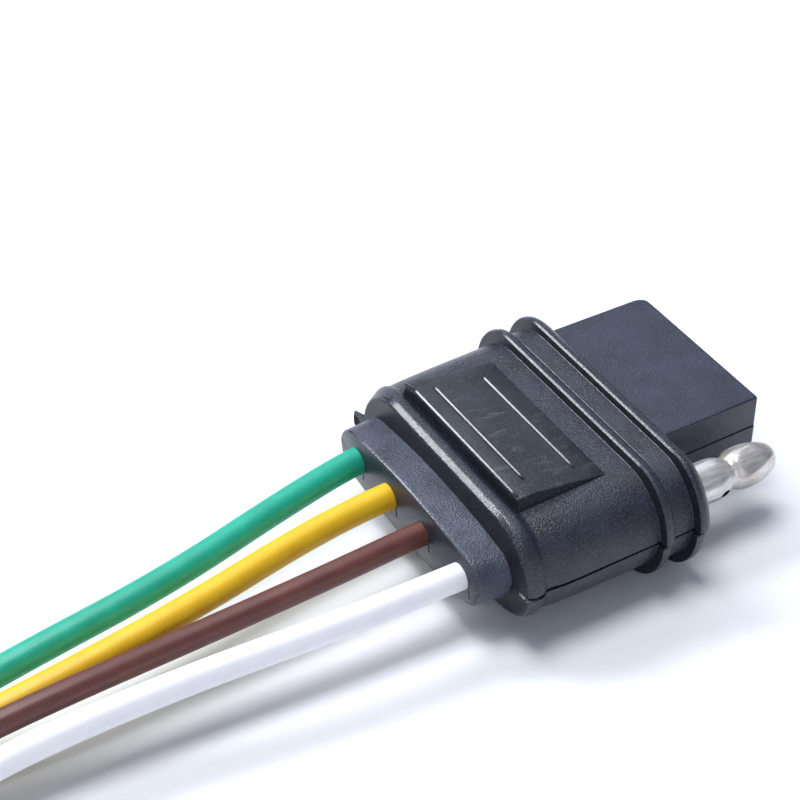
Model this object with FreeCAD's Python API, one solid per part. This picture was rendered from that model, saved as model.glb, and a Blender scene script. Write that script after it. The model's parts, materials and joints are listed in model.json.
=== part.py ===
import FreeCAD, Part
import math
import os

V = FreeCAD.Vector
os.makedirs("parts", exist_ok=True)

# A flat four-way trailer wiring connector: three sleeve sockets in a nose, one bullet pin
# beside it, and four leads out of the back. Millimetres. +X towards the sockets, +Z up.
# The moulding is drawn with X from the strain relief's rear face and Z from the parting
# plane, then moved so that the origin lies on the floor under its middle.
LENGTH = 39.15
HALF_HEIGHT = 7.05
TO_ROW = V(-LENGTH / 2, 0, HALF_HEIGHT)

# Strain relief: a lens-shaped slab.
RELIEF_LENGTH = 3.76
RELIEF_HALF_HEIGHT = 3.73
RELIEF_CROWN_R = 77.0
RELIEF_END_R = (2.95, 2.90)

# Body, its rear rim (the lower half is lower and a little behind), and the two grip
# flanges: (start, end, half width,
# half height, length of the elliptical end, rear rounding, front rounding).
BODY = (5.0, 20.2, 16.6, 5.85, 5.8, 0.3, 0)
RIM_UPPER = (3.76, 6.1, 16.85, 6.6, 6.2, 1.1, 0.6)
RIM_LOWER = (3.46, 6.1, 16.95, 5.5, 5.4, 1.2, 0.3)
FLANGE_1 = (19.65, 21.1, 17.77, 7.05, 5.65, 0, 0.35)
LAND = (20.5, 24.2, 16.8, 6.2, 5.9, 0, 0)
FLANGE_2 = (23.8, 25.4, 17.95, 7.05, 5.65, 0.25, 0.9)

# Raised wedge plate on top of the body, with three thin ribs across it.
PLATE_HALF_WIDTH = 10.3
PLATE_SIDE = ((6.3, 4.0), (6.45, 7.2), (8.55, 7.15), (14.4, 6.3), (16.7, 6.0), (16.8, 4.0))
RIBS = ((6.6, 7.2, 10.0), (8.55, 7.15, 8.3), (14.4, 6.3, 8.3))
RIB_R = 0.3

# Inner moulding: a carrier inside the body and the nose with the three sockets.
CARRIER_X = (18.0, 24.0)
CARRIER_Y = (-14.4, 13.6)
NOSE_Y = (-7.0, 13.6)
NOSE_HALF_HEIGHT = 3.97
NOSE_CORNER_R = 1.0
NOSE_EDGE_R = 0.35
SOCKET_PITCH = 6.6
SOCKET_MID_Y = 3.3

# Sleeve terminals for a 0.180 inch bullet.
SLEEVE_X = (28.0, 38.3)
SLEEVE_R = 2.33
SHEET = 0.3
SLEEVE_SLOT = 0.5
LIP_R = SLEEVE_R
NECK_R = 0.9

# Bullet pin, rolled from sheet: its root inside the moulding, then (station, radius) of
# the free part from the moulding's front to its tip.
PIN_Y = -11.54
PIN_R = 2.285
PIN_WALL = 0.35
PIN_ROOT = (22.0, 25.4, 1.9)
PIN_PROFILE = (
    (25.4, 2.285), (31.3, 2.285), (31.7, 1.73), (32.5, 1.73), (33.3, 2.24),
    (34.1, 2.3), (35.1, 2.24), (36.2, 1.95), (37.0, 1.62), (37.4, 1.2),
)
SEAM_HOLE = (32.1, 32.8, 0.5)

# Crimp barrels and the conductors in them.
BARREL_X = (8.5, 15.0)
BARREL_R = 1.25
CONDUCTOR_R = 0.75
BARE_R = 0.7
BARE_LENGTH = 9.0

# Leads, in the row's frame: diameter, and the route from inside the strain relief to the
# coil. Each leaves the moulding level, sags to the floor and joins the others side by side.
LEAD_LENGTH = 295.0
LEADS = {
    "green": (3.0, ((-13.6, 10.4, 7.05), (-18.6, 10.35, 7.05), (-28.6, 8.4, 7.0), (-44.6, 4.5, 6.7),
                    (-61.6, 2.9, 5.9), (-72.0, 2.2, 4.5), (-79.6, 0.4, 1.75))),
    "yellow": (2.9, ((-13.6, 3.65, 7.05), (-19.6, 3.7, 7.05), (-29.6, 2.8, 7.0), (-44.6, 0.0, 6.6),
                     (-61.6, -1.7, 5.9), (-72.0, -1.4, 4.5), (-79.6, -2.7, 1.75))),
    "brown": (2.6, ((-13.6, -2.9, 7.05), (-19.6, -2.9, 7.05), (-29.6, -3.4, 7.0), (-44.6, -3.4, 6.4),
                    (-61.6, -4.3, 7.1), (-71.5, -4.0, 5.9), (-79.2, -5.6, 2.2))),
    "white": (2.9, ((-13.6, -10.3, 7.05), (-21.6, -10.1, 7.05), (-33.6, -9.75, 6.95), (-48.6, -8.3, 6.6),
                    (-64.0, -7.4, 5.7), (-73.5, -7.3, 4.0), (-80.0, -8.8, 1.75))),
}

# The coil: the leads lie in four lanes side by side and climb a diameter a turn.
LANE = 3.0
COIL_MIDDLE_R = 16.5
COIL_X = -106.0
COIL_Y = 12.0
COIL_FACE = 20.5
TIE_WIDTH = 3.0
TIE_THICK = 0.6
TIE_TURN = 0.25


def save(name, shape, move=TO_ROW):
    shape = shape.copy()
    shape.translate(move)
    shape.exportStep("parts/" + name + ".step")
    print(name, "volume", round(shape.Volume, 2), "valid", shape.isValid())


def rod(radius, start, end):
    axis = end - start
    return Part.makeCylinder(radius, axis.Length, start, axis)


def box(x, y, z):
    return Part.makeBox(x[1] - x[0], y[1] - y[0], z[1] - z[0], V(x[0], y[0], z[0]))


def edges_at(shape, x):
    return [e for e in shape.Edges if abs(e.BoundBox.XMin - x) < 0.001 and abs(e.BoundBox.XMax - x) < 0.001]


def rounded_prism(x0, x1, half_width, half_height, end, rear_r, front_r):
    """A slab along X: flat top and bottom, half ellipses at its two ends."""
    flat = half_width - end
    edges = []
    for side in (1, -1):
        middle = V(x0, side * flat, 0)
        ellipse = Part.Ellipse(middle + V(0, 0, half_height), middle + V(0, side * end, 0), middle)
        edges.append(Part.ArcOfEllipse(ellipse, 0, math.pi).toShape())
        edges.append(Part.makeLine(V(x0, -flat, side * half_height), V(x0, flat, side * half_height)))
    outline = Part.Wire(Part.sortEdges(edges)[0])
    solid = Part.Face(outline).extrude(V(x1 - x0, 0, 0))
    if rear_r:
        solid = solid.makeFillet(rear_r, edges_at(solid, x0))
    if front_r:
        solid = solid.makeFillet(front_r, edges_at(solid, x1))
    return solid


def half_of(solid, side):
    """The part of a solid above or below the parting plane."""
    z = (0, LENGTH) if side > 0 else (-LENGTH, 0)
    return solid.common(box((-LENGTH, LENGTH), (-LENGTH, LENGTH), z))


def lens(x, end_r):
    """The strain relief's section: shallow crowned top and bottom, tangent to round ends."""
    drop = RELIEF_CROWN_R - RELIEF_HALF_HEIGHT
    reach = RELIEF_CROWN_R - end_r
    end_y = math.sqrt(reach ** 2 - drop ** 2)
    touch = V(0, end_y, drop) * (RELIEF_CROWN_R / reach)
    y, z = touch.y, touch.z - drop
    edges = []
    for side in (1, -1):
        crown = Part.Arc(V(x, -y, side * z), V(x, 0, side * RELIEF_HALF_HEIGHT), V(x, y, side * z))
        end = Part.Arc(V(x, side * y, -z), V(x, side * (end_y + end_r), 0), V(x, side * y, z))
        edges += [crown.toShape(), end.toShape()]
    return Part.Wire(Part.sortEdges(edges)[0])


def plate():
    side = [V(x, -PLATE_HALF_WIDTH, z) for x, z in PLATE_SIDE]
    wedge = Part.Face(Part.makePolygon(side + side[:1])).extrude(V(0, 2 * PLATE_HALF_WIDTH, 0))
    ribs = [rod(RIB_R, V(x, -half, z), V(x, half, z)) for x, z, half in RIBS]
    return wedge.fuse(ribs)


def block():
    """The inner moulding before its holes are cut."""
    nose = box((CARRIER_X[0], LENGTH), NOSE_Y, (-NOSE_HALF_HEIGHT, NOSE_HALF_HEIGHT))
    corners = [
        e for e in nose.Edges
        if e.BoundBox.XMin > LENGTH - 0.01 and e.BoundBox.ZLength > NOSE_HALF_HEIGHT
    ]
    nose = nose.makeFillet(NOSE_CORNER_R, corners)
    nose = nose.makeFillet(NOSE_EDGE_R, edges_at(nose, LENGTH))
    carrier = box(CARRIER_X, CARRIER_Y, (-NOSE_HALF_HEIGHT, NOSE_HALF_HEIGHT))
    return nose.fuse(carrier).removeSplitter()


def revolve(profile, y):
    """A solid of revolution about an axis along X."""
    points = [V(x, y, r) for x, r in profile]
    points = [V(points[0].x, y, 0)] + points + [V(points[-1].x, y, 0)]
    return Part.Face(Part.makePolygon(points + points[:1])).revolve(V(0, y, 0), V(1, 0, 0), 360)


def crimp(wire_y, contact_y, front_x):
    """The barrel round the conductor and the neck that joins it to the contact."""
    barrel = rod(BARREL_R, V(BARREL_X[0], wire_y, 0), V(BARREL_X[1], wire_y, 0))
    neck = rod(NECK_R, V(BARREL_X[1] - 0.6, wire_y, 0), V(front_x, contact_y, 0))
    return barrel.fuse(neck).cut(conductor(wire_y))


def conductor(wire_y):
    return rod(CONDUCTOR_R, V(TAIL_X, wire_y, 0), V(BARREL_X[1] - 1.0, wire_y, 0))


def sleeve(wire_y, y):
    """A socket's contact: a slotted sleeve, closed behind by a cone down to its neck."""
    outer_r = SLEEVE_R + SHEET
    cone = ((SLEEVE_X[0] - 2.0, NECK_R), (SLEEVE_X[0], outer_r), (SLEEVE_X[1], outer_r))
    contact = revolve(cone, y)
    hollow = rod(SLEEVE_R, V(SLEEVE_X[0] + 0.3, y, 0), V(SLEEVE_X[1] + 1, y, 0))
    half = SLEEVE_SLOT / 2
    slot = box((SLEEVE_X[0] + 2, SLEEVE_X[1] + 1), (y - half, y + half), (-outer_r - 1, -SLEEVE_R + 0.5))
    return contact.cut([hollow, slot]).fuse(crimp(wire_y, y, SLEEVE_X[0] - 1.5))


def pin(wire_y):
    """The bullet pin: a solid root, then hollow, with a small hole in its rolled seam."""
    root_x0, root_x1, root_r = PIN_ROOT
    bullet = revolve(((root_x0, root_r), (root_x1, root_r)) + PIN_PROFILE, PIN_Y)
    inside = [(x, r - PIN_WALL) for x, r in PIN_PROFILE[1:-1]]
    hollow = revolve([(root_x1 + PIN_WALL, PIN_R - PIN_WALL)] + inside, PIN_Y)
    x0, x1, width = SEAM_HOLE
    hole = box((x0, x1), (PIN_Y - width / 2, PIN_Y + width / 2), (-PIN_R, -0.5))
    return bullet.cut([hollow, hole]).fuse(crimp(wire_y, PIN_Y, root_x0 + 0.2))


def route_path(points):
    """Straight runs joined by tangent arcs, as large as the runs allow."""
    points = [V(*p) for p in points]
    edges = []
    radii = []
    at = points[0]
    for before, here, after in zip(points, points[1:], points[2:]):
        back = before - here
        ahead = after - here
        turn = math.pi - back.getAngle(ahead)
        step = 0.45 * min(back.Length, ahead.Length)
        radius = step / math.tan(turn / 2)
        back.normalize()
        ahead.normalize()
        start = here + back * step
        end = here + ahead * step
        inward = (back + ahead).normalize()
        middle = here + inward * (radius / math.cos(turn / 2) - radius)
        edges.append(Part.LineSegment(at, start).toShape())
        edges.append(Part.Arc(start, middle, end).toShape())
        radii.append(round(radius, 1))
        at = end
    edges.append(Part.LineSegment(at, points[-1]).toShape())
    return Part.Wire(edges), radii


def tube(name, diameter, points):
    path, radii = route_path(points)
    ring = Part.Wire(Part.makeCircle(diameter / 2, V(*points[0]), V(*points[1]) - V(*points[0])))
    solid = path.makePipeShell([ring], True, True)
    section = math.pi * diameter ** 2 / 4
    print(name, "radii", radii, "in diameters", [round(r / diameter, 1) for r in radii])
    print(name, "length", round(path.Length, 2), "volume ratio", round(solid.Volume / section / path.Length, 4))
    return solid, path.Length


def coil_turns(lane, used):
    """How far round the coil a lead still goes, in turns, in its lane."""
    return (LEAD_LENGTH - used) / (2 * math.pi * lane_r(lane))


def lane_r(lane):
    return COIL_MIDDLE_R + (lane - 1.5) * LANE


def end_height(turns):
    return LANE / 2 + LANE * turns


def bare_end(lane, turns):
    """A stripped end: a short arc that lies on the turn below it."""
    r = lane_r(lane)
    angles = [2 * math.pi * turns + BARE_LENGTH / r * part for part in (0, 0.5, 1)]
    spots = [V(COIL_X - r * math.sin(a), COIL_Y - r * math.cos(a), end_height(turns)) for a in angles]
    path = Part.Wire(Part.Arc(*spots).toShape())
    heading = V(-math.cos(angles[0]), math.sin(angles[0]), 0)
    ring = Part.Wire(Part.makeCircle(BARE_R, spots[0], heading))
    return path.makePipeShell([ring], True, True)


def coil(turns):
    """The outer shape of the wound leads: one ring for each lane, and the straight lead-in."""
    outer = COIL_MIDDLE_R + 2 * LANE
    inner = COIL_MIDDLE_R - 2 * LANE
    solid = box((COIL_X, COIL_X + COIL_FACE), (COIL_Y - outer, COIL_Y - inner), (0, LANE))
    for lane, count in enumerate(turns):
        top = end_height(count) - BARE_R
        ring = Part.makeCylinder(lane_r(lane) + LANE / 2, top, V(COIL_X, COIL_Y, 0))
        solid = solid.fuse(ring.cut(Part.makeCylinder(lane_r(lane) - LANE / 2, top, V(COIL_X, COIL_Y, 0))))
    groove = box((COIL_X - outer - 1, COIL_X), (COIL_Y - TIE_WIDTH / 2, COIL_Y + TIE_WIDTH / 2), (0, TIE_THICK))
    return solid.removeSplitter().cut(groove)


def tie(turns):
    """A band round the wound leads, on the coil's -X side."""
    gap = 0.1
    inner = COIL_X - (COIL_MIDDLE_R - 2 * LANE) + gap
    outer = COIL_X - (COIL_MIDDLE_R + 2 * LANE) - gap
    tops = [LANE + LANE * (TIE_TURN + math.floor(count - TIE_TURN)) + gap for count in turns]
    inside = [(inner, TIE_THICK - 0.05), (inner, tops[0]), (inner - LANE - gap, tops[0])]
    inside += [(outer, tops[3]), (outer, TIE_THICK - 0.05)]
    wall = TIE_THICK - 0.05
    outside = [(inner + wall, 0), (inner + wall, tops[0] + wall), (inner - LANE - gap, tops[0] + wall)]
    outside += [(outer - wall, tops[3] + wall), (outer - wall, 0)]
    band, hole = [
        Part.Face(Part.makePolygon([V(x, COIL_Y - TIE_WIDTH / 2, z) for x, z in outline + outline[:1]]))
        .extrude(V(0, TIE_WIDTH, 0))
        for outline in (outside, inside)
    ]
    return band.cut(hole)


TAIL_X = LEADS["green"][1][0][0] - TO_ROW.x
socket_y = {
    "green": SOCKET_MID_Y + SOCKET_PITCH,
    "yellow": SOCKET_MID_Y,
    "brown": SOCKET_MID_Y - SOCKET_PITCH,
    "white": PIN_Y,
}

tubes = {}
turns = []
terminals = {}
conductors = {}
for lane, (name, (diameter, points)) in enumerate(LEADS.items()):
    face = (COIL_X + COIL_FACE, COIL_Y - lane_r(lane), LANE / 2)
    tubes[name], length = tube(name, diameter, points + (face,))
    inside = TO_ROW.x - points[0][0]
    turns.append(coil_turns(lane, length + inside + COIL_FACE))
    wire_y = points[0][1]
    terminals[name] = sleeve(wire_y, socket_y[name]) if name != "white" else pin(wire_y)
    conductors[name] = conductor(wire_y)
print("turns in the coil", [round(t, 2) for t in turns])

inner_block = block()
moulding = rounded_prism(*BODY).fuse([rounded_prism(*s) for s in (FLANGE_1, LAND, FLANGE_2)])
moulding = moulding.fuse([half_of(rounded_prism(*RIM_UPPER), 1), half_of(rounded_prism(*RIM_LOWER), -1)])
relief = Part.makeLoft([lens(0, RELIEF_END_R[0]), lens(RELIEF_LENGTH + 0.3, RELIEF_END_R[1])], True, True)
moulding = moulding.fuse([relief, plate()])

local_tubes = []
for solid in tubes.values():
    solid = solid.copy()
    solid.translate(TO_ROW * -1)
    local_tubes.append(solid)
held = list(terminals.values()) + list(conductors.values()) + local_tubes
moulding = moulding.cut([inner_block] + held)

holes = []
for name in ("green", "yellow", "brown"):
    y = socket_y[name]
    holes.append(rod(SLEEVE_R + SHEET, V(SLEEVE_X[0], y, 0), V(SLEEVE_X[1], y, 0)))
    holes.append(rod(LIP_R, V(SLEEVE_X[1] - 1, y, 0), V(LENGTH + 1, y, 0)))
inner_block = inner_block.cut(holes + list(terminals.values()))

save("outer_moulding", moulding)
save("socket_block", inner_block)
for name in LEADS:
    save(("bullet_pin" if name == "white" else "sleeve_terminal_") + ("" if name == "white" else name), terminals[name])
    save("conductor_" + name, conductors[name])
    save("lead_" + name, tubes[name], V(0, 0, 0))
for lane, name in enumerate(LEADS):
    save("bare_end_" + name, bare_end(lane, turns[lane]), V(0, 0, 0))
save("lead_coil", coil(turns), V(0, 0, 0))
save("coil_tie", tie(turns), V(0, 0, 0))
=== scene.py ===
import json
import math

import bmesh
import bpy
from mathutils import Matrix, Vector


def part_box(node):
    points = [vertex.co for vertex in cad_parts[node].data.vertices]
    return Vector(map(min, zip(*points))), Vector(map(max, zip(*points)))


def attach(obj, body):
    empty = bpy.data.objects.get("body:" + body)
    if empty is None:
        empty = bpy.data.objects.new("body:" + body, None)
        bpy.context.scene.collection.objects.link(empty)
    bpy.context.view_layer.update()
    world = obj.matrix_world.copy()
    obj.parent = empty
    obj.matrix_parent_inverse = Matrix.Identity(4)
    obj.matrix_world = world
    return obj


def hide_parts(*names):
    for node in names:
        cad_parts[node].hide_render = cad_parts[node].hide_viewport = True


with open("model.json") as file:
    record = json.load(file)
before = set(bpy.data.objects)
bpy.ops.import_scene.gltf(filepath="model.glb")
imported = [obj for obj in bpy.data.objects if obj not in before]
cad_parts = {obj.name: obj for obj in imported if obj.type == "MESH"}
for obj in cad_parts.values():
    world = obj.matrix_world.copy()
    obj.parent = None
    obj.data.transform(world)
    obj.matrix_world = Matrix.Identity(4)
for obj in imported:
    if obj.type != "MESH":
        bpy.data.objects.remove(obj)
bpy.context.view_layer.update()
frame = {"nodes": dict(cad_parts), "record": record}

MM = 0.001

# ---------------------------------------------------------------- places from the frame
MOUNTS = {m["name"]: m for m in frame["record"]["mounts"]}
NOSE_LO, NOSE_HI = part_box("socket_block")
X_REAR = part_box("outer_moulding")[0].x
Z_PARTING = MOUNTS["bullet_pin"]["pos_m"][2]
LENGTH = NOSE_HI.x - X_REAR


def mount_y(name):
    """A mount's place across the connector, in millimetres."""
    return MOUNTS[name]["pos_m"][1] / MM


def place(x, y, z):
    """A point from millimetres: its station along X from the strain relief's rear face, its
    place across, and its height above the parting plane."""
    return Vector((X_REAR + x * MM, y * MM, Z_PARTING + z * MM))


# ---------------------------------------------------------------- camera
CAMERA_AZIMUTH = math.radians(-31.089)
CAMERA_ELEVATION = math.radians(39.763)
CAMERA_TARGET = Vector((-10.62, 16.22, 7.05)) * MM
CAMERA_DISTANCE = 234.27
CAMERA_LENS = 97.05


def scene_camera():
    """Looks down at the connector from its -Y side and a little behind it."""
    back = Vector((
        math.sin(CAMERA_AZIMUTH) * math.cos(CAMERA_ELEVATION),
        -math.cos(CAMERA_AZIMUTH) * math.cos(CAMERA_ELEVATION),
        math.sin(CAMERA_ELEVATION),
    ))
    data = bpy.data.cameras.new("camera")
    data.sensor_width = 36
    data.lens = CAMERA_LENS
    data.clip_start = 0.005
    camera = bpy.data.objects.new("camera", data)
    camera.location = CAMERA_TARGET + back * CAMERA_DISTANCE * MM
    camera.rotation_mode = "QUATERNION"
    camera.rotation_quaternion = (-back).to_track_quat("-Z", "Y")
    bpy.context.collection.objects.link(camera)
    bpy.context.scene.camera = camera


scene_camera()


# ---------------------------------------------------------------- material helpers
def level(value):
    """A grey whose three channels are the same."""
    return (value, value, value)


class Nodes:
    """Short ways to add shader nodes to one material."""

    def __init__(self, name):
        self.material = bpy.data.materials.new(name)
        self.material.use_nodes = True
        self.tree = self.material.node_tree
        self.shader = self.tree.nodes["Principled BSDF"]
        self.where = self.add("ShaderNodeTexCoord").outputs["Object"]

    def add(self, kind, **values):
        node = self.tree.nodes.new(kind)
        for key, value in values.items():
            setattr(node, key, value)
        return node

    def link(self, start, end):
        self.tree.links.new(start, end)

    def feed(self, socket, value):
        """Sets a socket to a number or a colour, or links another node's output to it."""
        if isinstance(value, (int, float)):
            socket.default_value = value
        elif isinstance(value, tuple):
            socket.default_value = (*value, 1)
        else:
            self.link(value, socket)

    def set(self, **values):
        """Feeds the shader's sockets, named with _ for each space."""
        for key, value in values.items():
            self.feed(self.shader.inputs[key.replace("_", " ")], value)

    def noise(self, scale, detail, rough, stretch=(1, 1, 1), distort=0.0):
        """Noise over the object's own coordinates, which are in metres."""
        mapping = self.add("ShaderNodeMapping")
        mapping.inputs["Scale"].default_value = stretch
        self.link(self.where, mapping.inputs["Vector"])
        noise = self.add("ShaderNodeTexNoise")
        noise.inputs["Scale"].default_value = scale
        noise.inputs["Detail"].default_value = detail
        noise.inputs["Roughness"].default_value = rough
        noise.inputs["Distortion"].default_value = distort
        self.link(mapping.outputs["Vector"], noise.inputs["Vector"])
        return noise.outputs["Fac"]

    def grey(self, value, low, high, start=0.0, end=1.0):
        """A grey that runs from start, where the value is low, to end, where it is high."""
        ramp = self.add("ShaderNodeValToRGB")
        for element, position, shade in zip(ramp.color_ramp.elements, (low, high), (start, end)):
            element.position = position
            element.color = (*level(shade), 1)
        self.link(value, ramp.inputs["Fac"])
        return ramp.outputs["Color"]

    def mix(self, factor, a, b):
        """Colour a where the factor is 0, b where it is 1."""
        mix = self.add("ShaderNodeMix", data_type="RGBA", blend_type="MIX")
        for name, kind, value in (("Factor", "VALUE", factor), ("A", "RGBA", a), ("B", "RGBA", b)):
            socket = [s for s in mix.inputs if s.name == name and s.type == kind][0]
            self.feed(socket, value)
        return [s for s in mix.outputs if s.type == "RGBA"][0]

    def bump(self, layers):
        """Several heights, each (value, strength, distance in metres)."""
        normal = None
        for height, strength, distance in layers:
            bump = self.add("ShaderNodeBump")
            bump.inputs["Strength"].default_value = strength
            bump.inputs["Distance"].default_value = distance
            self.link(height, bump.inputs["Height"])
            if normal is not None:
                self.link(normal, bump.inputs["Normal"])
            normal = bump.outputs["Normal"]
        self.link(normal, self.shader.inputs["Normal"])


SPECK_TINT = (0.105, 0.115, 0.140)
SCUFF_TINT = (0.105, 0.112, 0.130)


def moulded_pvc(name, dark, light, rough, grain, grain_height,
                smear=0.00010, specks=0.85, scuffs=0.35, gloss=0.5):
    """Black PVC from a spark-eroded mould: fine grain, faint smears, a few scuffs.

    A higher grain is a finer one. The heights of the grain and the smears are in metres."""
    n = Nodes(name)
    grit = n.noise(grain, detail=2.0, rough=0.5)
    cloud = n.noise(260, detail=4.0, rough=0.6)
    scuff = n.noise(900, detail=6.0, rough=0.7, stretch=(0.35, 1.6, 1.0), distort=0.6)
    colour = n.mix(n.grey(cloud, 0.35, 0.7), dark, light)
    colour = n.mix(n.grey(grit, 0.60, 0.70, end=specks), colour, SPECK_TINT)
    colour = n.mix(n.grey(scuff, 0.66 - 0.1 * scuffs, 0.74, end=scuffs), colour, SCUFF_TINT)
    shine = n.mix(n.grey(cloud, 0.3, 0.75), level(rough - 0.05), level(rough + 0.06))
    n.set(Base_Color=colour, Roughness=shine, IOR=1.52, Specular_IOR_Level=gloss)
    n.bump([(cloud, 0.25, smear), (n.grey(grit, 0.36, 0.66), 1.0, grain_height)])
    return n.material


def wire_pvc(name, colour, deep, rough=0.42):
    """Extruded insulation: a faint cloud in the colour and a fine unevenness."""
    n = Nodes(name)
    cloud = n.noise(420, detail=3.0, rough=0.5)
    fine = n.noise(2600, detail=4.0, rough=0.6)
    tone = n.mix(n.grey(cloud, 0.3, 0.72), deep, colour)
    shine = n.mix(fine, level(rough - 0.05), level(rough + 0.08))
    n.set(Base_Color=tone, Roughness=shine, IOR=1.5, Coat_Weight=0.08, Coat_Roughness=0.3)
    n.bump([(cloud, 0.2, 0.00008), (fine, 0.25, 0.00002)])
    return n.material


def metal(name, colour, tint, rough):
    """Plain metal with cloudy patches and a fine unevenness."""
    n = Nodes(name)
    cloud = n.noise(500, detail=4.0, rough=0.6)
    fine = n.noise(2200, detail=5.0, rough=0.6)
    tone = n.mix(n.grey(cloud, 0.35, 0.7), tint, colour)
    shine = n.mix(fine, level(rough - 0.08), level(rough + 0.12))
    n.set(Base_Color=tone, Roughness=shine, Metallic=1.0)
    n.bump([(cloud, 0.3, 0.00006), (fine, 0.4, 0.00002)])
    return n.material


def tinned(name, bright, dull, rough):
    """Old tin plate: lengthwise draw marks, a few dull patches, half mirror and half haze."""
    n = Nodes(name)
    patches = n.noise(330, detail=3.0, rough=0.5, stretch=(0.7, 1.2, 1.2), distort=0.4)
    streaks = n.noise(1500, detail=4.0, rough=0.6, stretch=(0.12, 1.3, 1.3))
    tone = n.mix(n.grey(patches, 0.42, 0.62), dull, bright)
    draw_marks = n.grey(streaks, 0.38, 0.62, start=0.55, end=0.0)
    tone = n.mix(draw_marks, tone, tuple(channel * 0.62 for channel in dull))
    shine = n.mix(streaks, level(rough - 0.12), level(rough + 0.14))
    n.set(Base_Color=tone, Roughness=shine, Metallic=0.62, IOR=1.6)
    n.bump([(patches, 0.3, 0.00010), (streaks, 0.5, 0.00003)])
    return n.material


# ---------------------------------------------------------------- materials
MOULDING = moulded_pvc(
    "moulding_grained", (0.015, 0.017, 0.028), (0.027, 0.031, 0.050),
    rough=0.26, grain=5800, grain_height=0.000034, specks=0.6,
)
MOULDING_SMOOTH = moulded_pvc(
    "moulding_satin", (0.014, 0.016, 0.028), (0.024, 0.027, 0.044),
    rough=0.30, grain=7200, grain_height=0.000006,
)
# Painted shade: a darker, less glossy copy of the moulding for the faces along X and the wedge's side
# walls, where these walls stand in shade.
SHADED_WALL = moulded_pvc(
    "wall_satin_painted_shade", (0.007, 0.008, 0.013), (0.012, 0.014, 0.021),
    rough=0.36, grain=7200, grain_height=0.000008, gloss=0.22,
)
PLATE = moulded_pvc(
    "plate_satin", (0.008, 0.009, 0.014), (0.022, 0.025, 0.037),
    rough=0.31, grain=5600, grain_height=0.000020, smear=0.00012, specks=0.4, scuffs=0.9,
)
NOSE = moulded_pvc(
    "nose_satin", (0.020, 0.023, 0.040), (0.032, 0.037, 0.066),
    rough=0.33, grain=5800, grain_height=0.000024, specks=0.5,
)
# Painted sheen: the strain relief's grained faces are the same black PVC as the body, but about three
# times lighter, which stands in for the brighter sheen they reflect.
RELIEF_SHEEN = moulded_pvc(
    "relief_grained_painted_sheen", (0.040, 0.044, 0.070), (0.084, 0.093, 0.134),
    rough=0.25, grain=5600, grain_height=0.000042, specks=0.7,
)
# Painted shade: a near-black matt copy of the moulding for the fin, the parting groove, the lead slits and
# the pin's hole, which stands in for the shade in these recesses.
PAINTED_SHADE = moulded_pvc(
    "painted_shade_matt", (0.002, 0.0025, 0.004), (0.004, 0.005, 0.007),
    rough=0.6, grain=7200, grain_height=0.000010, gloss=0.04,
)
# Polish and painted highlight: a glossier copy of the moulding, its colour a little lighter. The lower
# roughness is polish on the crests; the lighter colour, given only to faces turned to mirror the back
# strip lamp, is a painted highlight.
CREST_POLISH_AND_SHEEN = moulded_pvc(
    "crest_polished_painted_sheen", (0.018, 0.020, 0.032), (0.032, 0.036, 0.054),
    rough=0.19, grain=5600, grain_height=0.000009, smear=0.00003, specks=0.6, scuffs=0.5, gloss=0.6,
)
RIB = moulded_pvc(
    "rib_polished", (0.018, 0.020, 0.027), (0.030, 0.033, 0.044),
    rough=0.18, grain=4200, grain_height=0.000002, smear=0.00001, specks=0.0, scuffs=0.0, gloss=0.55,
)
WIRES = {
    "green": wire_pvc("pvc_green", (0.010, 0.42, 0.285), (0.007, 0.345, 0.225)),
    "yellow": wire_pvc("pvc_yellow", (0.90, 0.55, 0.012), (0.82, 0.47, 0.008)),
    "brown": wire_pvc("pvc_brown", (0.143, 0.042, 0.031), (0.100, 0.028, 0.022)),
    "white": wire_pvc("pvc_white", (0.95, 0.94, 0.965), (0.91, 0.90, 0.93)),
}
BRASS = metal("brass_sheet", (0.80, 0.62, 0.33), (0.62, 0.45, 0.22), 0.28)
TIN = tinned("tin_plate", (0.86, 0.84, 0.82), (0.60, 0.535, 0.485), 0.30)
COPPER = metal("copper_strand", (0.86, 0.47, 0.30), (0.66, 0.32, 0.19), 0.27)
TIE = wire_pvc("tie_plastic", (0.030, 0.030, 0.033), (0.018, 0.018, 0.020), 0.45)


# ---------------------------------------------------------------- mesh helpers
def mesh_piece(name, points, faces, materials, smooth=True):
    """A mesh from points and faces, its faces turned outwards."""
    mesh = bpy.data.meshes.new(name)
    mesh.from_pydata([tuple(p) for p in points], [], faces)
    mesh.validate()
    shape = bmesh.new()
    shape.from_mesh(mesh)
    bmesh.ops.recalc_face_normals(shape, faces=shape.faces)
    shape.to_mesh(mesh)
    shape.free()
    for material in materials:
        mesh.materials.append(material)
    if smooth:
        mesh.shade_smooth()
    piece = bpy.data.objects.new(name, mesh)
    bpy.context.collection.objects.link(piece)
    return piece


def ring_faces(rings, first=0):
    """Quads between rings of equal length, and a face over each end."""
    sides = len(rings[0])
    faces = []
    for i in range(len(rings) - 1):
        low, high = first + i * sides, first + (i + 1) * sides
        for k in range(sides):
            j = (k + 1) % sides
            faces.append((low + k, low + j, high + j, high + k))
    last = first + (len(rings) - 1) * sides
    faces.append(tuple(range(first + sides - 1, first - 1, -1)))
    faces.append(tuple(range(last, last + sides)))
    return faces


def ring_piece(name, rings, materials):
    """A closed mesh through a row of rings."""
    return mesh_piece(name, [p for ring in rings for p in ring], ring_faces(rings), materials)


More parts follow.
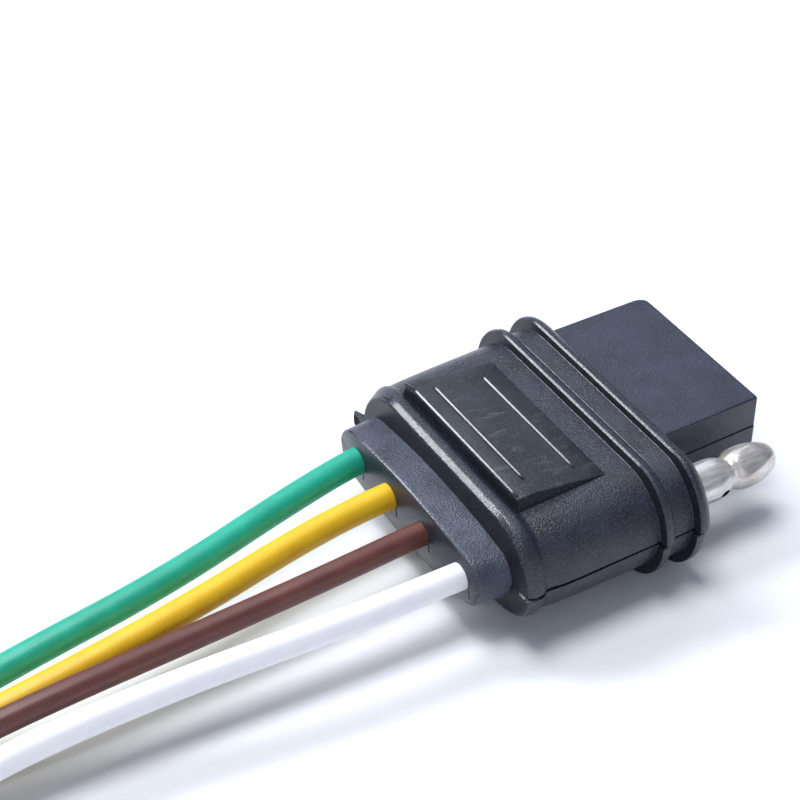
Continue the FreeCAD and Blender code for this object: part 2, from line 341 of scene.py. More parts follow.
def tube_rings(path, radius, sides):
    """Rings of points square to a path."""
    rings = []
    for i, spot in enumerate(path):
        ahead = (path[min(i + 1, len(path) - 1)] - path[max(i - 1, 0)]).normalized()
        across = ahead.cross(Vector((0, 0, 1))).normalized()
        up = across.cross(ahead)
        ring = []
        for k in range(sides):
            a = 2 * math.pi * k / sides
            ring.append(spot + across * (radius * math.cos(a)) + up * (radius * math.sin(a)))
        rings.append(ring)
    return rings


def apply_modifiers(piece):
    """Gives a piece the mesh that its modifiers make, and takes them off."""
    bpy.context.view_layer.update()
    graph = bpy.context.evaluated_depsgraph_get()
    mesh = bpy.data.meshes.new_from_object(piece.evaluated_get(graph))
    piece.modifiers.clear()
    piece.data = mesh


def sharpen(piece, degrees):
    """Smooth shading but for the edges that turn by more than an angle."""
    piece.data.shade_smooth()
    piece.data.set_sharp_from_angle(angle=math.radians(degrees))


def paint(piece, choose):
    """Gives each face the one of the piece's materials that a rule chooses for it."""
    materials = list(piece.data.materials)
    for polygon in piece.data.polygons:
        polygon.material_index = materials.index(choose(polygon))


def carve(piece, cutters):
    """Cuts closed shapes out of a piece. The cut faces keep the cutters' materials."""
    for cutter in cutters:
        cut = piece.modifiers.new("cut", "BOOLEAN")
        cut.operation = "DIFFERENCE"
        cut.solver = "EXACT"
        cut.material_mode = "TRANSFER"
        cut.object = cutter
        apply_modifiers(piece)
        bpy.data.objects.remove(cutter)


def joined(pieces, name):
    """Several meshes as one piece."""
    first = pieces[0]
    for p in bpy.context.selected_objects:
        p.select_set(False)
    for p in pieces:
        p.select_set(True)
    bpy.context.view_layer.objects.active = first
    bpy.ops.object.join()
    first.name = name
    return first


# ---------------------------------------------------------------- leads
# The same routes as the CAD tubes', in millimetres, from inside the strain relief to the coil.
# Each lead: its diameter and the points of its route.
LEAD_LENGTH = 0.295
LEADS = {
    "green": (3.0, ((-13.6, 10.4, 7.05), (-18.6, 10.35, 7.05), (-28.6, 8.4, 7.0), (-44.6, 4.5, 6.7),
                    (-61.6, 2.9, 5.9), (-72.0, 2.2, 4.5), (-79.6, 0.4, 1.75))),
    "yellow": (2.9, ((-13.6, 3.65, 7.05), (-19.6, 3.7, 7.05), (-29.6, 2.8, 7.0), (-44.6, 0.0, 6.6),
                     (-61.6, -1.7, 5.9), (-72.0, -1.4, 4.5), (-79.6, -2.7, 1.75))),
    "brown": (2.6, ((-13.6, -2.9, 7.05), (-19.6, -2.9, 7.05), (-29.6, -3.4, 7.0), (-44.6, -3.4, 6.4),
                    (-61.6, -4.3, 7.1), (-71.5, -4.0, 5.9), (-79.2, -5.6, 2.2))),
    "white": (2.9, ((-13.6, -10.3, 7.05), (-21.6, -10.1, 7.05), (-33.6, -9.75, 6.95), (-48.6, -8.3, 6.6),
                    (-64.0, -7.4, 5.7), (-73.5, -7.3, 4.0), (-80.0, -8.8, 1.75))),
}
LANE = 3.0 * MM
COIL_X, COIL_Y = -106.0 * MM, 12.0 * MM
COIL_FACE = 20.5 * MM
COIL_RUN_IN = COIL_FACE * 0.6
COIL_MIDDLE_R = 16.5 * MM
TURN_POINTS = 16
BARE_LENGTH = 9.0 * MM
BARE_R = 0.7 * MM
BARE_TUCK = 1.0 * MM
STRANDS = 7
STRAND_STEPS = 36
STRAND_SIDES = 10
STRAND_TURNS = 1.4
STRAND_SPLAY = 0.25
TIE_WALL = 0.5 * MM
# The tie's section: across as a part of half its width, out as a part of its wall.
TIE_SECTION = (
    (-1, -0.35), (-0.75, 0.5), (0, 0.35), (0.75, 0.5), (1, -0.35), (0.75, -0.5), (-0.75, -0.5),
)
TIE_STEPS = 12


def lane_r(lane):
    """The coil's radius in one of its four lanes."""
    return COIL_MIDDLE_R + (lane - 1.5) * LANE


def on_coil(lane, angle, out=1.0):
    """A point of a lane after that many radians round the coil, climbing a lane a turn."""
    r = lane_r(lane) * out
    return Vector((
        COIL_X - r * math.sin(angle),
        COIL_Y - r * math.cos(angle),
        LANE / 2 + LANE * angle / (2 * math.pi),
    ))


def spline_curve(name, points, radius, material):
    """A round tube along a quadratic curve that its points steer."""
    data = bpy.data.curves.new(name, "CURVE")
    data.dimensions = "3D"
    data.bevel_depth = radius
    data.bevel_resolution = 10
    data.resolution_u = 16
    data.use_fill_caps = True
    spline = data.splines.new("NURBS")
    spline.points.add(len(points) - 1)
    for point, spot in zip(spline.points, points):
        point.co = (*spot, 1)
    spline.order_u = 3
    spline.use_endpoint_u = True
    data.materials.append(material)
    curve = bpy.data.objects.new(name, data)
    bpy.context.collection.objects.link(curve)
    return curve


def strands(name, lane, start):
    """Twisted copper strands, one in the middle, along the end of a lead's last turn."""
    points, faces = [], []
    strand_r = BARE_R / 3
    for strand in range(STRANDS):
        path = []
        for step in range(STRAND_STEPS + 1):
            along = step / STRAND_STEPS
            angle = start + (BARE_LENGTH * along - BARE_TUCK) / lane_r(lane)
            spot = on_coil(lane, angle)
            out = Vector((-math.sin(angle), -math.cos(angle), 0))
            twist = 2 * math.pi * (strand / (STRANDS - 1) + STRAND_TURNS * along)
            in_middle = strand == STRANDS - 1
            spread = 0 if in_middle else 2 * strand_r * (1 + STRAND_SPLAY * along ** 3)
            spot += out * (spread * math.cos(twist)) + Vector((0, 0, spread * math.sin(twist)))
            path.append(spot)
        rings = tube_rings(path, strand_r, STRAND_SIDES)
        faces += ring_faces(rings, len(points))
        points += [p for ring in rings for p in ring]
    return mesh_piece(name, points, faces, [COPPER])


def leads():
    """Four leads: out of the strain relief, down to the floor, and put away in the coil."""
    made = []
    for lane, (colour, (diameter, route)) in enumerate(LEADS.items()):
        points = [Vector(p) * MM for p in route]
        outside = sum((b - a).length for a, b in zip(points, points[1:])) - (points[0].x - X_REAR)
        outside += (points[-1] - on_coil(lane, 0)).length
        end = (LEAD_LENGTH - outside) / lane_r(lane)
        points.append(on_coil(lane, 0) + Vector((COIL_RUN_IN, 0, 0)))
        # The points stand outside the lane's circle, which the quadratic curve then touches.
        step = 2 * math.pi / TURN_POINTS
        angle = step / 2
        while angle < end - step / 3:
            points.append(on_coil(lane, angle, 1 / math.cos(step / 2)))
            angle += step
        points.append(on_coil(lane, end))
        wire = spline_curve("wire_" + colour, points, diameter / 2 * MM, WIRES[colour])
        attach(wire, "root")
        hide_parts("lead_" + colour, "lead_coil")
        bare = strands("strands_" + colour, lane, end)
        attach(bare, "root")
        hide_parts("bare_end_" + colour)
        made.append((wire, bare, diameter, points[0]))
    return made


def tie_path(low, high):
    """The closed line of the tie round the coil's section, its corners softened."""
    inner_top = high.z - 0.6 * MM
    outer_top = LANE * 2.25 + 0.35 * MM
    shoulder = 3.2 * MM
    right, left = high.x - TIE_WALL / 2, low.x + TIE_WALL / 2
    corners = [
        (right, TIE_WALL / 2), (right, inner_top), (right - shoulder, inner_top),
        (left, outer_top), (left, TIE_WALL / 2),
    ]
    path = []
    for i, (x, z) in enumerate(corners):
        next_x, next_z = corners[(i + 1) % len(corners)]
        for j in range(TIE_STEPS):
            path.append(Vector((x + (next_x - x) * j / TIE_STEPS, 0, z + (next_z - z) * j / TIE_STEPS)))
    soft = []
    for i, spot in enumerate(path):
        soft.append((path[i - 1] + spot * 2 + path[(i + 1) % len(path)]) / 4)
    return soft


def coil_tie():
    """A flat plastic tie round the wound leads."""
    low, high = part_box("coil_tie")
    mid_y = (low.y + high.y) / 2
    half_width = (high.y - low.y) / 2
    path = tie_path(low, high)
    total, sides = len(path), len(TIE_SECTION)
    points, faces = [], []
    for i, spot in enumerate(path):
        ahead = (path[(i + 1) % total] - path[i - 1]).normalized()
        out = Vector((ahead.z, 0, -ahead.x))
        for across, lift in TIE_SECTION:
            points.append(spot + Vector((0, mid_y + across * half_width, 0)) + out * (lift * TIE_WALL))
    for i in range(total):
        j = (i + 1) % total
        for k in range(sides):
            m = (k + 1) % sides
            faces.append((i * sides + k, i * sides + m, j * sides + m, j * sides + k))
    tie = mesh_piece("tie_band", points, faces, [TIE])
    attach(tie, "root")
    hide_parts("coil_tie")
    return tie


LEAD_PIECES = leads()
TIE_PIECE = coil_tie()


# ---------------------------------------------------------------- light and floor
# Each lamp: name, place, a disk's diameter or a strip's length and width, power, colour, and
# the direction that a strip's long side follows.
LAMPS = (
    ("key", (-0.06, 0.10, 0.64), 0.30, 2.6, (0.95, 0.975, 1.0), None),
    ("back_strip", (-0.26, 0.46, 0.46), (0.60, 0.12), 4.4, (0.93, 0.965, 1.0), (0.88, 0, 0.48)),
    ("back_right", (0.35, 0.58, 0.56), 0.60, 1.1, (0.80, 0.88, 1.0), None),
    ("side_fill", (-0.10, -0.55, 0.22), 0.40, 0.5, (0.90, 0.94, 1.0), None),
)
LAMPS_AIM = Vector((0, 0, 0.005))
SKY_LOW = (0.40, 0.45, 0.60, 1)
SKY_HIGH = (0.74, 0.82, 1.0, 1)
SKY_HIGH_FROM = 0.9
SKY_STRENGTH = 0.33
FLOOR_HALF = 3
FLOOR_TINTS = ((0.90, 0.90, 0.93), (0.94, 0.94, 0.965))


def area_light(name, spot, size, power, colour, along):
    """A soft light aimed at the object: a disk, or a strip along a direction."""
    data = bpy.data.lights.new(name, "AREA")
    data.energy = power
    data.color = colour
    light = bpy.data.objects.new(name, data)
    light.location = spot
    light.rotation_mode = "QUATERNION"
    back = (Vector(spot) - LAMPS_AIM).normalized()
    if along is None:
        data.shape = "DISK"
        data.size = size
        light.rotation_quaternion = back.to_track_quat("Z", "Y")
    else:
        data.shape = "RECTANGLE"
        data.size, data.size_y = size
        side = (Vector(along) - back * Vector(along).dot(back)).normalized()
        light.rotation_quaternion = Matrix((side, back.cross(side), back)).transposed().to_quaternion()
    bpy.context.collection.objects.link(light)


def sky():
    """A dim bluish surround, paler overhead."""
    world = bpy.data.worlds.new("studio")
    bpy.context.scene.world = world
    world.use_nodes = True
    tree = world.node_tree
    background = tree.nodes["Background"]
    where = tree.nodes.new("ShaderNodeTexCoord")
    split = tree.nodes.new("ShaderNodeSeparateXYZ")
    ramp = tree.nodes.new("ShaderNodeValToRGB")
    low, high = ramp.color_ramp.elements
    low.position = 0.0
    low.color = SKY_LOW
    high.position = SKY_HIGH_FROM
    high.color = SKY_HIGH
    tree.links.new(where.outputs["Generated"], split.inputs["Vector"])
    tree.links.new(split.outputs["Z"], ramp.inputs["Fac"])
    tree.links.new(ramp.outputs["Color"], background.inputs["Color"])
    background.inputs["Strength"].default_value = SKY_STRENGTH


def studio_floor():
    """A pale floor, with a hardly visible unevenness in its tone."""
    n = Nodes("floor_white")
    tone = n.noise(14, detail=2.0, rough=0.5)
    n.set(Base_Color=n.mix(tone, *FLOOR_TINTS), Roughness=0.6)
    f = FLOOR_HALF
    corners = [(-f, -f, 0), (f, -f, 0), (f, f, 0), (-f, f, 0)]
    mesh_piece("floor", corners, [(0, 1, 2, 3)], [n.material], False)


bpy.context.scene.view_settings.view_transform = "Standard"
bpy.context.scene.view_settings.look = "None"
sky()
for lamp in LAMPS:
    area_light(*lamp)
studio_floor()


# ---------------------------------------------------------------- sections of the moulded pieces
# From here on sizes are in millimetres. A ring goes round a section once: the top, the +Y side,
# the bottom and the -Y side.
SIDE_ANGLES = (90, 82, 74, 66, 58, 50, 42, 34, 27, 20, 14, 9, 5, 2.4, 0.9)
SIDE_ANGLES += tuple(-a for a in reversed(SIDE_ANGLES))
GROOVE = 0.22
LEDGE = 0.12
FLAT_STEPS = 26


def groove_at(angle):
    """The depth of the fine groove just above the parting line."""
    return GROOVE if 0 < angle < 2 else 0.0


def slab_ring(upper, lower):
    """A closed ring: the upper and lower mould halves' sections, each at its own station.

    A half is (station, where its ends begin, -Y extent, +Y extent, height). Where the +Y extent
    is the shorter, that end begins earlier too."""
    points = []
    for half, sign in ((upper, 1), (lower, -1)):
        x, flat, near, far, height = half
        far_flat = flat - max(near - far, 0)
        far_side = []
        near_side = []
        for angle in SIDE_ANGLES:
            if angle * sign > 0:
                a = math.radians(angle)
                z = height * math.sin(a)
                far_side.append((x, far_flat + (far - far_flat) * math.cos(a) - groove_at(angle), z))
                near_side.append((x, -flat - (near - flat) * math.cos(a) + groove_at(angle), z))
        row = [(x, (flat + far_flat) * i / FLAT_STEPS - flat, sign * height) for i in range(1, FLAT_STEPS)]
        if sign > 0:
            points += near_side[::-1] + row + far_side
        else:
            points += far_side + row[::-1] + near_side[::-1]
    return [place(*point) for point in points]


def quarter_round(y, z, r, first, last):
    """Points of a corner round its centre, from one angle down to another."""
    points = []
    for angle in range(first, last - 1, -15):
        a = math.radians(angle)
        points.append((y + r * math.cos(a), z + r * math.sin(a)))
    return points


def box_side(half_width, half_height, corner):
    """The +Y side of a block's section: the lower half stands a little proud of the groove."""
    corner_y, corner_z = half_width - corner, half_height - corner
    proud = half_width + LEDGE * 0.5
    side = quarter_round(corner_y, corner_z, corner, 90, 0)
    side += [(half_width, half_height * 0.5), (half_width, 0.16), (half_width - GROOVE, 0.05)]
    side += [(proud, -0.03), (proud, -0.16), (half_width + LEDGE * 0.4, -half_height * 0.5)]
    return side + quarter_round(corner_y, -corner_z, corner, 0, -90)


def mirrored_ring(x, side, mid_y=0.0, crown=None):
    """One closed ring from the points of its +Y side, mirrored to the other side."""
    flat = side[0][0]
    across = [flat * (2 * i / FLAT_STEPS - 1) for i in range(1, FLAT_STEPS)]
    height = crown if crown else lambda y: side[0][1]
    points = [(y, height(y)) for y in across] + side
    points += [(y, -height(y)) for y in reversed(across)]
    points += [(-y, z) for y, z in reversed(side)]
    return [place(x, mid_y + y, z) for y, z in points]


def rounded(stations, steps=7):
    """Stations whose last value is a rounding: each corner becomes a small curve."""
    made = [stations[0][:-1]]
    for before, here, after in zip(stations, stations[1:], stations[2:]):
        if not here[-1]:
            made.append(here[:-1])
            continue
        ends = []
        for other in (before, after):
            span = math.hypot(other[0] - here[0], other[4] - here[4], other[2] - here[2])
            part = min(here[-1] / span, 0.49)
            ends.append([h + (o - h) * part for h, o in zip(here[:-1], other[:-1])])
        for i in range(steps + 1):
            t = i / steps
            made.append([
                (1 - t) ** 2 * a + 2 * t * (1 - t) * h + t * t * b
                for a, h, b in zip(ends[0], here[:-1], ends[1])
            ])
    made.append(stations[-1][:-1])
    return made


def smooth_step(value, low, high):
    """0 up to low, 1 from high, and a smooth rise between them."""
    t = min(max((value - low) / (high - low), 0), 1)
    return t * t * (3 - 2 * t)


def lathe(name, profile, y, materials, sides, shape=None):
    """A closed solid of revolution about an axis along X, from (station, radius) pairs."""
    rings = []
    for x, r in profile:
        turn = []
        for k in range(sides):
            a = 2 * math.pi * k / sides
            out = r * (shape(x, a) if shape else 1)
            turn.append(place(x, y + out * math.cos(a), out * math.sin(a)))
        rings.append(turn)
    return ring_piece(name, rings, materials)


# ---------------------------------------------------------------- outer moulding: the body
# Each row: the upper half's (station, where its ends begin, -Y extent, +Y extent, height),
# the same for the lower half, and a rounding. The halves don't quite meet at the rear rim.
BODY_STATIONS = [
    (3.76, 10.0, 15.3, 14.4, 5.0, 3.58, 10.6, 15.2, 15.8, 3.4, 0),
    (3.76, 10.2, 16.50, 15.2, 6.2, 3.58, 10.6, 16.50, 17.4, 4.40, 0.38),
    (4.43, 10.3, 16.85, 15.5, 6.6, 3.95, 10.6, 16.97, 18.0, 4.95, 0.30),
    (5.55, 10.4, 16.85, 16.3, 6.6, 5.35, 10.6, 16.95, 17.3, 5.55, 0.75),
    (6.25, 10.5, 16.3, 16.3, 5.74, 6.15, 10.6, 16.35, 16.5, 5.5, 0.45),
    (8.2, 10.8, 16.6, 16.42, 5.85, 8.1, 10.7, 16.6, 16.6, 5.7, 0.8),
    (13.0, 10.8, 16.62, 16.6, 5.9, 12.9, 10.7, 16.6, 16.6, 5.85, 0),
    (19.45, 10.8, 16.62, 16.75, 5.95, 19.25, 10.8, 16.55, 16.7, 5.85, 0),
    (19.70, 10.8, 16.62, 16.75, 5.95, 19.50, 10.8, 16.55, 16.7, 5.85, 0.10),
    (19.76, 12.1, 17.66, 17.66, 6.91, 19.52, 11.6, 17.50, 17.75, 6.75, 0.04),
    (20.00, 12.1, 17.77, 17.77, 7.053, 19.85, 11.6, 17.52, 17.75, 6.78, 0.06),
    (20.75, 12.1, 17.70, 17.70, 6.96, 20.60, 11.6, 17.45, 17.70, 6.70, 0.35),
    (21.12, 11.6, 16.95, 16.95, 6.28, 21.00, 11.3, 16.90, 17.0, 6.25, 0.12),
    (21.22, 11.0, 16.68, 16.68, 6.02, 21.15, 11.0, 16.65, 16.7, 6.00, 0.06),
    (21.36, 11.0, 16.82, 16.82, 6.2, 21.30, 11.0, 16.75, 16.85, 6.15, 0.08),
    (23.72, 11.0, 16.82, 16.82, 6.2, 23.55, 11.0, 16.75, 16.85, 6.15, 0.10),
    (23.84, 12.3, 17.84, 17.84, 6.91, 23.58, 12.0, 17.70, 17.95, 6.95, 0.04),
    (24.08, 12.3, 17.95, 17.95, 7.053, 23.90, 12.0, 17.72, 17.95, 7.02, 0.06),
    (24.70, 12.3, 17.90, 17.90, 6.98, 24.60, 12.0, 17.70, 17.90, 6.95, 0.60),
    (25.40, 11.8, 17.30, 17.30, 6.35, 25.35, 11.8, 17.10, 17.30, 6.35, 0.35),
    (25.42, 10.5, 15.5, 15.5, 4.6, 25.42, 10.5, 15.5, 15.5, 4.6, 0),
]
# Which way the polished crests face: up and to the rear, turned to mirror the back strip lamp; the faces
# turned this way get the lighter copy, a painted highlight.
CREST_FACES = Vector((-0.51, 0, 0.86))
CREST_WITHIN = 0.955
FIN_FOOT = 16.1
FIN_LEAN = 0.7
FIN_HEIGHT = 1.7
FIN_STATIONS = (3.95, 4.35)
FIN_REACH = 5.6


def fin(point):
    """Thins the lower half's +Y end at the rear to a flash fin that leans in towards its top."""
    x, y, z = (point.x - X_REAR) / MM, point.y / MM, (point.z - Z_PARTING) / MM
    if z > -0.01 or y < FIN_FOOT or x > FIN_REACH:
        return point
    kept = 1 - smooth_step(x, *FIN_STATIONS)
    lean = FIN_LEAN * max(0.0, 1 + z / FIN_HEIGHT) * (y - FIN_FOOT) / 2
    return Vector((point.x, (FIN_FOOT + (y - FIN_FOOT) * kept - lean * kept) * MM, point.z))


def body_material(polygon):
    """Painted shade (near black) in the fin and the groove; polished on the crests, with a slightly
    lighter colour there that is a painted highlight; satin and painted darker as painted shade where it
    faces along X.
    """
    x, y, z = polygon.center - Vector((X_REAR, 0, Z_PARTING))
    in_fin = x < 4.4 * MM and y > 15.6 * MM and z < 0
    in_groove = x > 5.0 * MM and abs(y) > 15 * MM and -0.06 * MM < z < 0.2 * MM
    # Painted shade: the fin and the parting groove get the near-black copy.
    if in_fin or in_groove:
        return PAINTED_SHADE
    # Painted highlight: faces turned to mirror the back strip lamp, above z = 2 mm or on the near side,
    # get the glossier, lighter copy.
    if polygon.normal.dot(CREST_FACES) > CREST_WITHIN and (z > 2 * MM or y < 0):
        return CREST_POLISH_AND_SHEEN
    # Faces along X get the darker copy: painted shade.
    return SHADED_WALL if abs(polygon.normal.x) > 0.8 else MOULDING


def body_shell():
    """The body with its rear rim and its two grip flanges, which shine along their crests through polish
    and a painted highlight.
    """
    rings = []
    for station in rounded(BODY_STATIONS):
        rings.append([fin(point) for point in slab_ring(station[:5], station[5:])])
    body = ring_piece("body_shell", rings, [MOULDING, SHADED_WALL, PAINTED_SHADE, CREST_POLISH_AND_SHEEN])
    paint(body, body_material)
    sharpen(body, 40)
    return body


# ---------------------------------------------------------------- outer moulding: strain relief
RELIEF_R = 77.0
RELIEF_HALF_HEIGHT = 3.73
RELIEF_END_R = 2.95
RELIEF_TAPER = 0.05
RELIEF_LENGTH = 3.76
# (station, how far the section is inside its full outline): a softened rear edge, then full.
RELIEF_STATIONS = [(0.0, 0.17), (0.06, 0.08), (0.194, 0.0)] + [(0.5 + 0.5 * i, 0.0) for i in range(9)]
SLIT_DEPTHS = (-0.3, 0.5)
SLIT_OUTLINE = ((-0.14, -0.55), (0.05, -0.6), (0.16, 0.5), (-0.02, 0.55))
SLIT_FACES = [(3, 2, 1, 0), (4, 5, 6, 7), (1, 5, 4, 0), (2, 6, 5, 1), (3, 7, 6, 2), (0, 4, 7, 3)]


def relief_ring(x, inset):
    """A lens-shaped section: two shallow arcs, a small radius at each end."""
    drop = RELIEF_R - RELIEF_HALF_HEIGHT
    end_r = RELIEF_END_R - RELIEF_TAPER * x / RELIEF_LENGTH
    end_y = math.sqrt((RELIEF_R - end_r) ** 2 - drop ** 2)
    top = math.degrees(math.atan2(drop, end_y))
    side = []
    for angle in SIDE_ANGLES:
        a = math.radians(angle * top / 90)
        step_in = LEDGE * math.cos(a) if angle < 0 else groove_at(angle)
        r = end_r - inset - step_in
        side.append((end_y + r * math.cos(a), r * math.sin(a)))
    return mirrored_ring(x, side, 0.0, lambda y: math.sqrt((RELIEF_R - inset) ** 2 - y * y) - drop)


def relief_material(polygon):
    """A glossier copy on the upper rear edge whose lighter colour is a painted highlight, satin on the
    rear face, and elsewhere the grained copy painted lighter as a painted sheen.
    """
    if polygon.normal.dot(CREST_FACES) > CREST_WITHIN:
        return CREST_POLISH_AND_SHEEN
    return MOULDING_SMOOTH if polygon.normal.x < -0.9 else RELIEF_SHEEN


def slit(colour, diameter, route):
    """The cutter of the short slit below a lead's exit, towards -Y."""
    y, z = route[0][1] - 0.53 * diameter, -0.40 * diameter
    corners = [place(x, y + dy, z + dz) for x in SLIT_DEPTHS for dy, dz in SLIT_OUTLINE]
    # The near-black cutter material, which the cut faces keep, is painted shade inside the slit.
    return mesh_piece("slit_" + colour, corners, SLIT_FACES, [PAINTED_SHADE], False)


def relief_shell():
    """The strain relief: a lens-shaped slab with a plain rear face."""
    rings = [relief_ring(x, inset) for x, inset in RELIEF_STATIONS]
    relief = ring_piece("relief_shell", rings, [RELIEF_SHEEN, MOULDING_SMOOTH, CREST_POLISH_AND_SHEEN])
    paint(relief, relief_material)
    carve(relief, [slit(colour, diameter, route) for colour, (diameter, route) in LEADS.items()])
    sharpen(relief, 40)
    return relief


# ---------------------------------------------------------------- outer moulding: wedge and ribs
# Each row of the wedge: station, height, -Y edge, +Y edge, height there, and its foot's station.
# Its top is level from the -Y edge as far as PLATE_BEND.
WEDGE_ROWS = (
    (6.42, 7.22, 10.3, 11.0, 6.75, 6.08),
    (8.55, 7.24, 10.35, 10.75, 6.95, 8.55),
    (14.4, 6.33, 10.4, 10.55, 6.25, 14.4),
    (16.95, 5.95, 10.5, 10.45, 5.95, 17.2),
)
PLATE_BEND = 8.9
WEDGE_FOOT = 4.6
NEAR_DRAFT = 0.55
FAR_DRAFT = 0.45
# Ribs: (station, height, -Y end, +Y end, radius, drop at the +Y end).
RIBS = (
    (6.62, 7.25, -10.0, 11.2, 0.19, 0.50),
    (8.60, 7.30, -8.05, 8.75, 0.16, 0.0),
    (14.45, 6.37, -8.35, 8.50, 0.17, 0.0),
)
RIB_STEPS = 48
RIB_DROP_LENGTH = 2.2
# The corners round a rib's section: one broad facet, the rest rounded.
RIB_ANGLES = (0, 24, 48, 70, 88, 152, 170, 190, 215, 240, 265, 290, 315, 340)


def wedge_shell():
    """The raised wedge: drafted walls and softened edges."""
    top, foot = [], []
    for x, z, near, far, far_z, foot_x in WEDGE_ROWS:
        top += [place(x, -near, z), place(x, PLATE_BEND, z), place(x, far, far_z)]
        foot += [place(foot_x, -near - NEAR_DRAFT, WEDGE_FOOT), place(foot_x, far + FAR_DRAFT, WEDGE_FOOT)]
    faces = []
    last = len(WEDGE_ROWS) - 1
    first_foot = len(top)
    for i in range(last):
        a, b = 3 * i, 3 * i + 3
        c, d = first_foot + 2 * i, first_foot + 2 * i + 2
        faces += [(a, b, b + 1, a + 1), (a + 1, b + 1, b + 2, a + 2)]
        faces += [(c + 1, d + 1, d, c), (c, d, b, a), (a + 2, b + 2, d + 1, c + 1)]
    end = first_foot + 2 * last
    faces.append((0, 1, 2, first_foot + 1, first_foot))
    faces.append((end, end + 1, 3 * last + 2, 3 * last + 1, 3 * last))
    wedge = mesh_piece("wedge_shell", top + foot, faces, [SHADED_WALL, PLATE])
    bevel = wedge.modifiers.new("edges", "BEVEL")
    bevel.width = 0.16 * MM
    bevel.segments = 3
    bevel.limit_method = "ANGLE"
    bevel.angle_limit = math.radians(25)
    apply_modifiers(wedge)
    # The wedge's walls get the darker copy as painted shade; its top keeps the plate's colour.
    paint(wedge, lambda polygon: PLATE if polygon.normal.z > 0.7 else SHADED_WALL)
    sharpen(wedge, 50)
    return wedge


def rib_shell(name, x, z, start, stop, r, drop):
    """A thin rib across the wedge, smaller at its ends."""
    rings = []
    for i in range(RIB_STEPS + 1):
        y = start + (stop - start) * i / RIB_STEPS
        sunk = drop * smooth_step(y, stop - RIB_DROP_LENGTH, stop)
        spot = place(x, y, z - sunk)
        radius = r * min(1.0, 0.6 + min(y - start, stop - y) / 0.5)
        turn = []
        for degrees in RIB_ANGLES:
            a = math.radians(degrees)
            turn.append(spot + Vector((radius * math.cos(a), 0, radius * 1.1 * math.sin(a))) * MM)
        rings.append(turn)
    rib = ring_piece(name, rings, [RIB])
    sharpen(rib, 28)
    return rib


def moulding_piece():
    """The outer moulding: body, strain relief, wedge and ribs as one piece."""
    shells = [body_shell(), relief_shell(), wedge_shell()]
    shells += [rib_shell("rib_%d" % number, *rib) for number, rib in enumerate(RIBS)]
    moulding = joined(shells, "moulding")
    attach(moulding, "root")
    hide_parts("outer_moulding")


# ---------------------------------------------------------------- nose
NOSE_BACK = 23.0
NOSE_EXTRA = 0.15
NOSE_NEAR_R = 0.22
NOSE_FAR_R = 1.35
NOSE_EDGE_R = 0.22
NOSE_DRAFT = 0.12 / 14
NOSE_STEPS = 8
BORE_BOTTOM = 28.5
BORE_R = 2.45
BORE_MOUTH_R = 2.8


def nose_rings(front, mid_y):
    """The block's sections: a slight draft, then the rounded corners at the front face."""
    half_width = NOSE_HI.y / MM - mid_y
    half_height = (NOSE_HI.z - NOSE_LO.z) / 2 / MM
    rings = []
    for i in range(NOSE_STEPS + 1):
        x = NOSE_BACK + (front - NOSE_FAR_R - NOSE_BACK) * i / NOSE_STEPS
        grow = NOSE_DRAFT * (front - x)
        side = box_side(half_width + grow, half_height + grow, NOSE_EDGE_R)
        rings.append(mirrored_ring(x, side, mid_y))
    for i in range(1, NOSE_STEPS + 1):
        a = math.radians(90 * i / NOSE_STEPS)
        x = front - NOSE_FAR_R + NOSE_FAR_R * math.sin(a)
        far_tuck = NOSE_FAR_R * (1 - math.cos(a))
        into_near = max(x - (front - NOSE_NEAR_R), 0)
        near_tuck = NOSE_NEAR_R - math.sqrt(NOSE_NEAR_R ** 2 - into_near ** 2)
        low = max(0, math.sin(a) - 0.86) * 1.1
        side = box_side(half_width - (far_tuck + near_tuck) / 2, half_height - low, NOSE_EDGE_R)
        rings.append(mirrored_ring(x, side, mid_y - (far_tuck - near_tuck) / 2))
    return rings


def nose_piece():
    """The nose: a plain block with a parting line and three sockets."""
    front = LENGTH / MM + NOSE_EXTRA
    nose = ring_piece("nose", nose_rings(front, mount_y("socket_yellow")), [NOSE])
    profile = (
        (BORE_BOTTOM, BORE_R), (front - 0.45, BORE_R),
        (front - 0.05, BORE_MOUTH_R), (front + 1, BORE_MOUTH_R + 0.1),
    )
    cutters = []
    for colour in ("green", "yellow", "brown"):
        cutters.append(lathe("bore_" + colour, profile, mount_y("socket_" + colour), [NOSE], 48))
    carve(nose, cutters)
    sharpen(nose, 38)
    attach(nose, "root")
    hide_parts("socket_block")


# ---------------------------------------------------------------- bullet pin
# (station, radius) from the moulding to the tip, with the neck behind the head.
PIN_KNOTS = (
    (24.6, 2.285), (27.0, 2.285), (29.5, 2.27), (30.4, 2.2), (31.0, 2.05), (31.4, 1.86),
    (31.75, 1.76), (32.1, 1.86), (32.6, 2.12), (33.3, 2.26), (34.1, 2.3), (35.1, 2.22),
    (36.1, 1.98), (37.0, 1.62), (37.5, 1.28), (37.8, 0.85), (37.88, 0.45),
)
PIN_SEAM = math.radians(243)
PIN_SEAM_HALF = 0.07
HOLE_STATION = 30.4
HOLE_ANGLE = math.radians(196)
HOLE_HALF_LENGTH = 0.58
HOLE_HALF_WIDTH = 0.5
HOLE_HALF_DEPTH = 0.9
HOLE_SIDES = 24


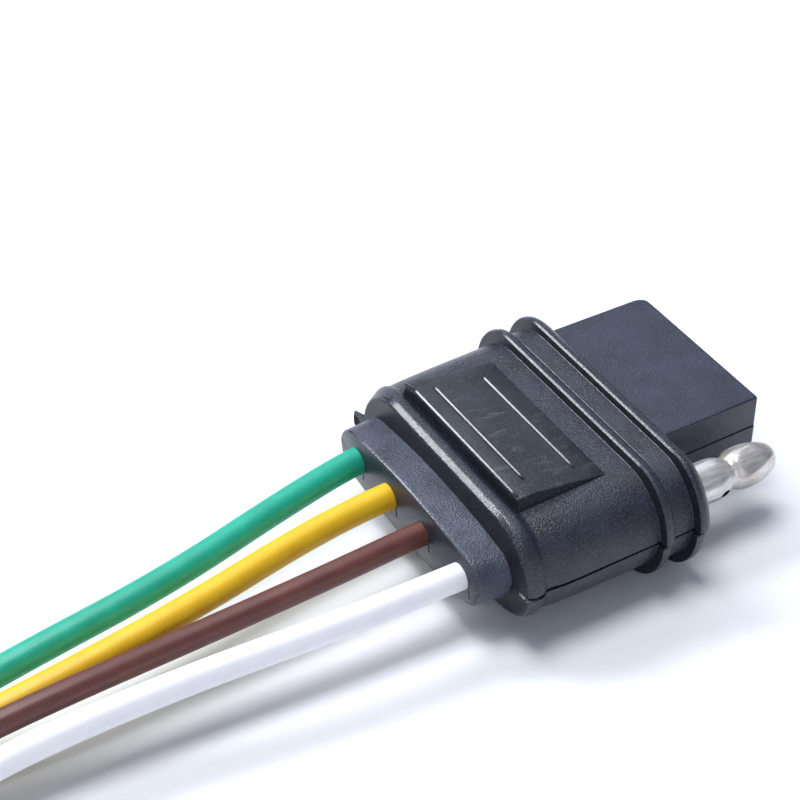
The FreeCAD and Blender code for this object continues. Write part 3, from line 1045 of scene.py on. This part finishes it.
def curve_through(knots, steps):
    """A smooth run of (station, radius) pairs through a few knots."""
    made = []
    for i in range(len(knots) - 1):
        before = knots[max(i - 1, 0)]
        here, there = knots[i], knots[i + 1]
        after = knots[min(i + 2, len(knots) - 1)]
        for j in range(steps):
            t = j / steps
            made.append(tuple(
                0.5 * (2 * q + (r - p) * t + (2 * p - 5 * q + 4 * r - s) * t ** 2
                       + (3 * q - p - 3 * r + s) * t ** 3)
                for p, q, r, s in zip(before, here, there, after)
            ))
    made.append(knots[-1])
    return made


def pin_shape(x, angle):
    """Slight flats from the rolling tool on the head, and the rolled seam underneath."""
    head = smooth_step(x, 31.6, 33.4) * (1 - smooth_step(x, 37.0, 37.9))
    ridges = abs(math.cos(2.5 * angle + 0.35 * (x - 34) + 0.9))
    flats = 1 + 0.05 * head * (0.6 - ridges)
    away = abs((angle - PIN_SEAM + math.pi) % (2 * math.pi) - math.pi)
    seam = 1 - 0.055 * max(0, 1 - away / PIN_SEAM_HALF)
    return flats * seam


def seam_hole(pin_y):
    """The cutter of the small oval hole in the side of the pin."""
    out = Vector((0, math.cos(HOLE_ANGLE), math.sin(HOLE_ANGLE)))
    side = Vector((1, 0, 0))
    across = out.cross(side)
    centre_r = 2.1
    centre = place(
        HOLE_STATION, pin_y + centre_r * math.cos(HOLE_ANGLE), centre_r * math.sin(HOLE_ANGLE)
    )
    rings = []
    for depth in (-HOLE_HALF_DEPTH, HOLE_HALF_DEPTH):
        turn = []
        for k in range(HOLE_SIDES):
            a = 2 * math.pi * k / HOLE_SIDES
            oval = side * (HOLE_HALF_LENGTH * math.cos(a)) + across * (HOLE_HALF_WIDTH * math.sin(a))
            turn.append(centre + (out * depth + oval) * MM)
        rings.append(turn)
    # The near-black cutter material, which the hole's walls keep, is painted shade inside the hole.
    return ring_piece("seam_hole", rings, [PAINTED_SHADE])


def pin_piece():
    """The exposed bullet pin beside the nose."""
    pin_y = mount_y("bullet_pin")
    pin = lathe("pin", curve_through(PIN_KNOTS, 6), pin_y, [TIN], 180, pin_shape)
    carve(pin, [seam_hole(pin_y)])
    sharpen(pin, 40)
    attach(pin, "root")
    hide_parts("bullet_pin")


moulding_piece()
nose_piece()
pin_piece()

# ---------------------------------------------------------------- pieces shown as in CAD
for node, piece in frame["nodes"].items():
    material = {"sleeve": BRASS, "conductor": COPPER}.get(node.split("_")[0])
    if material:
        for material_slot in piece.material_slots:
            material_slot.material = material
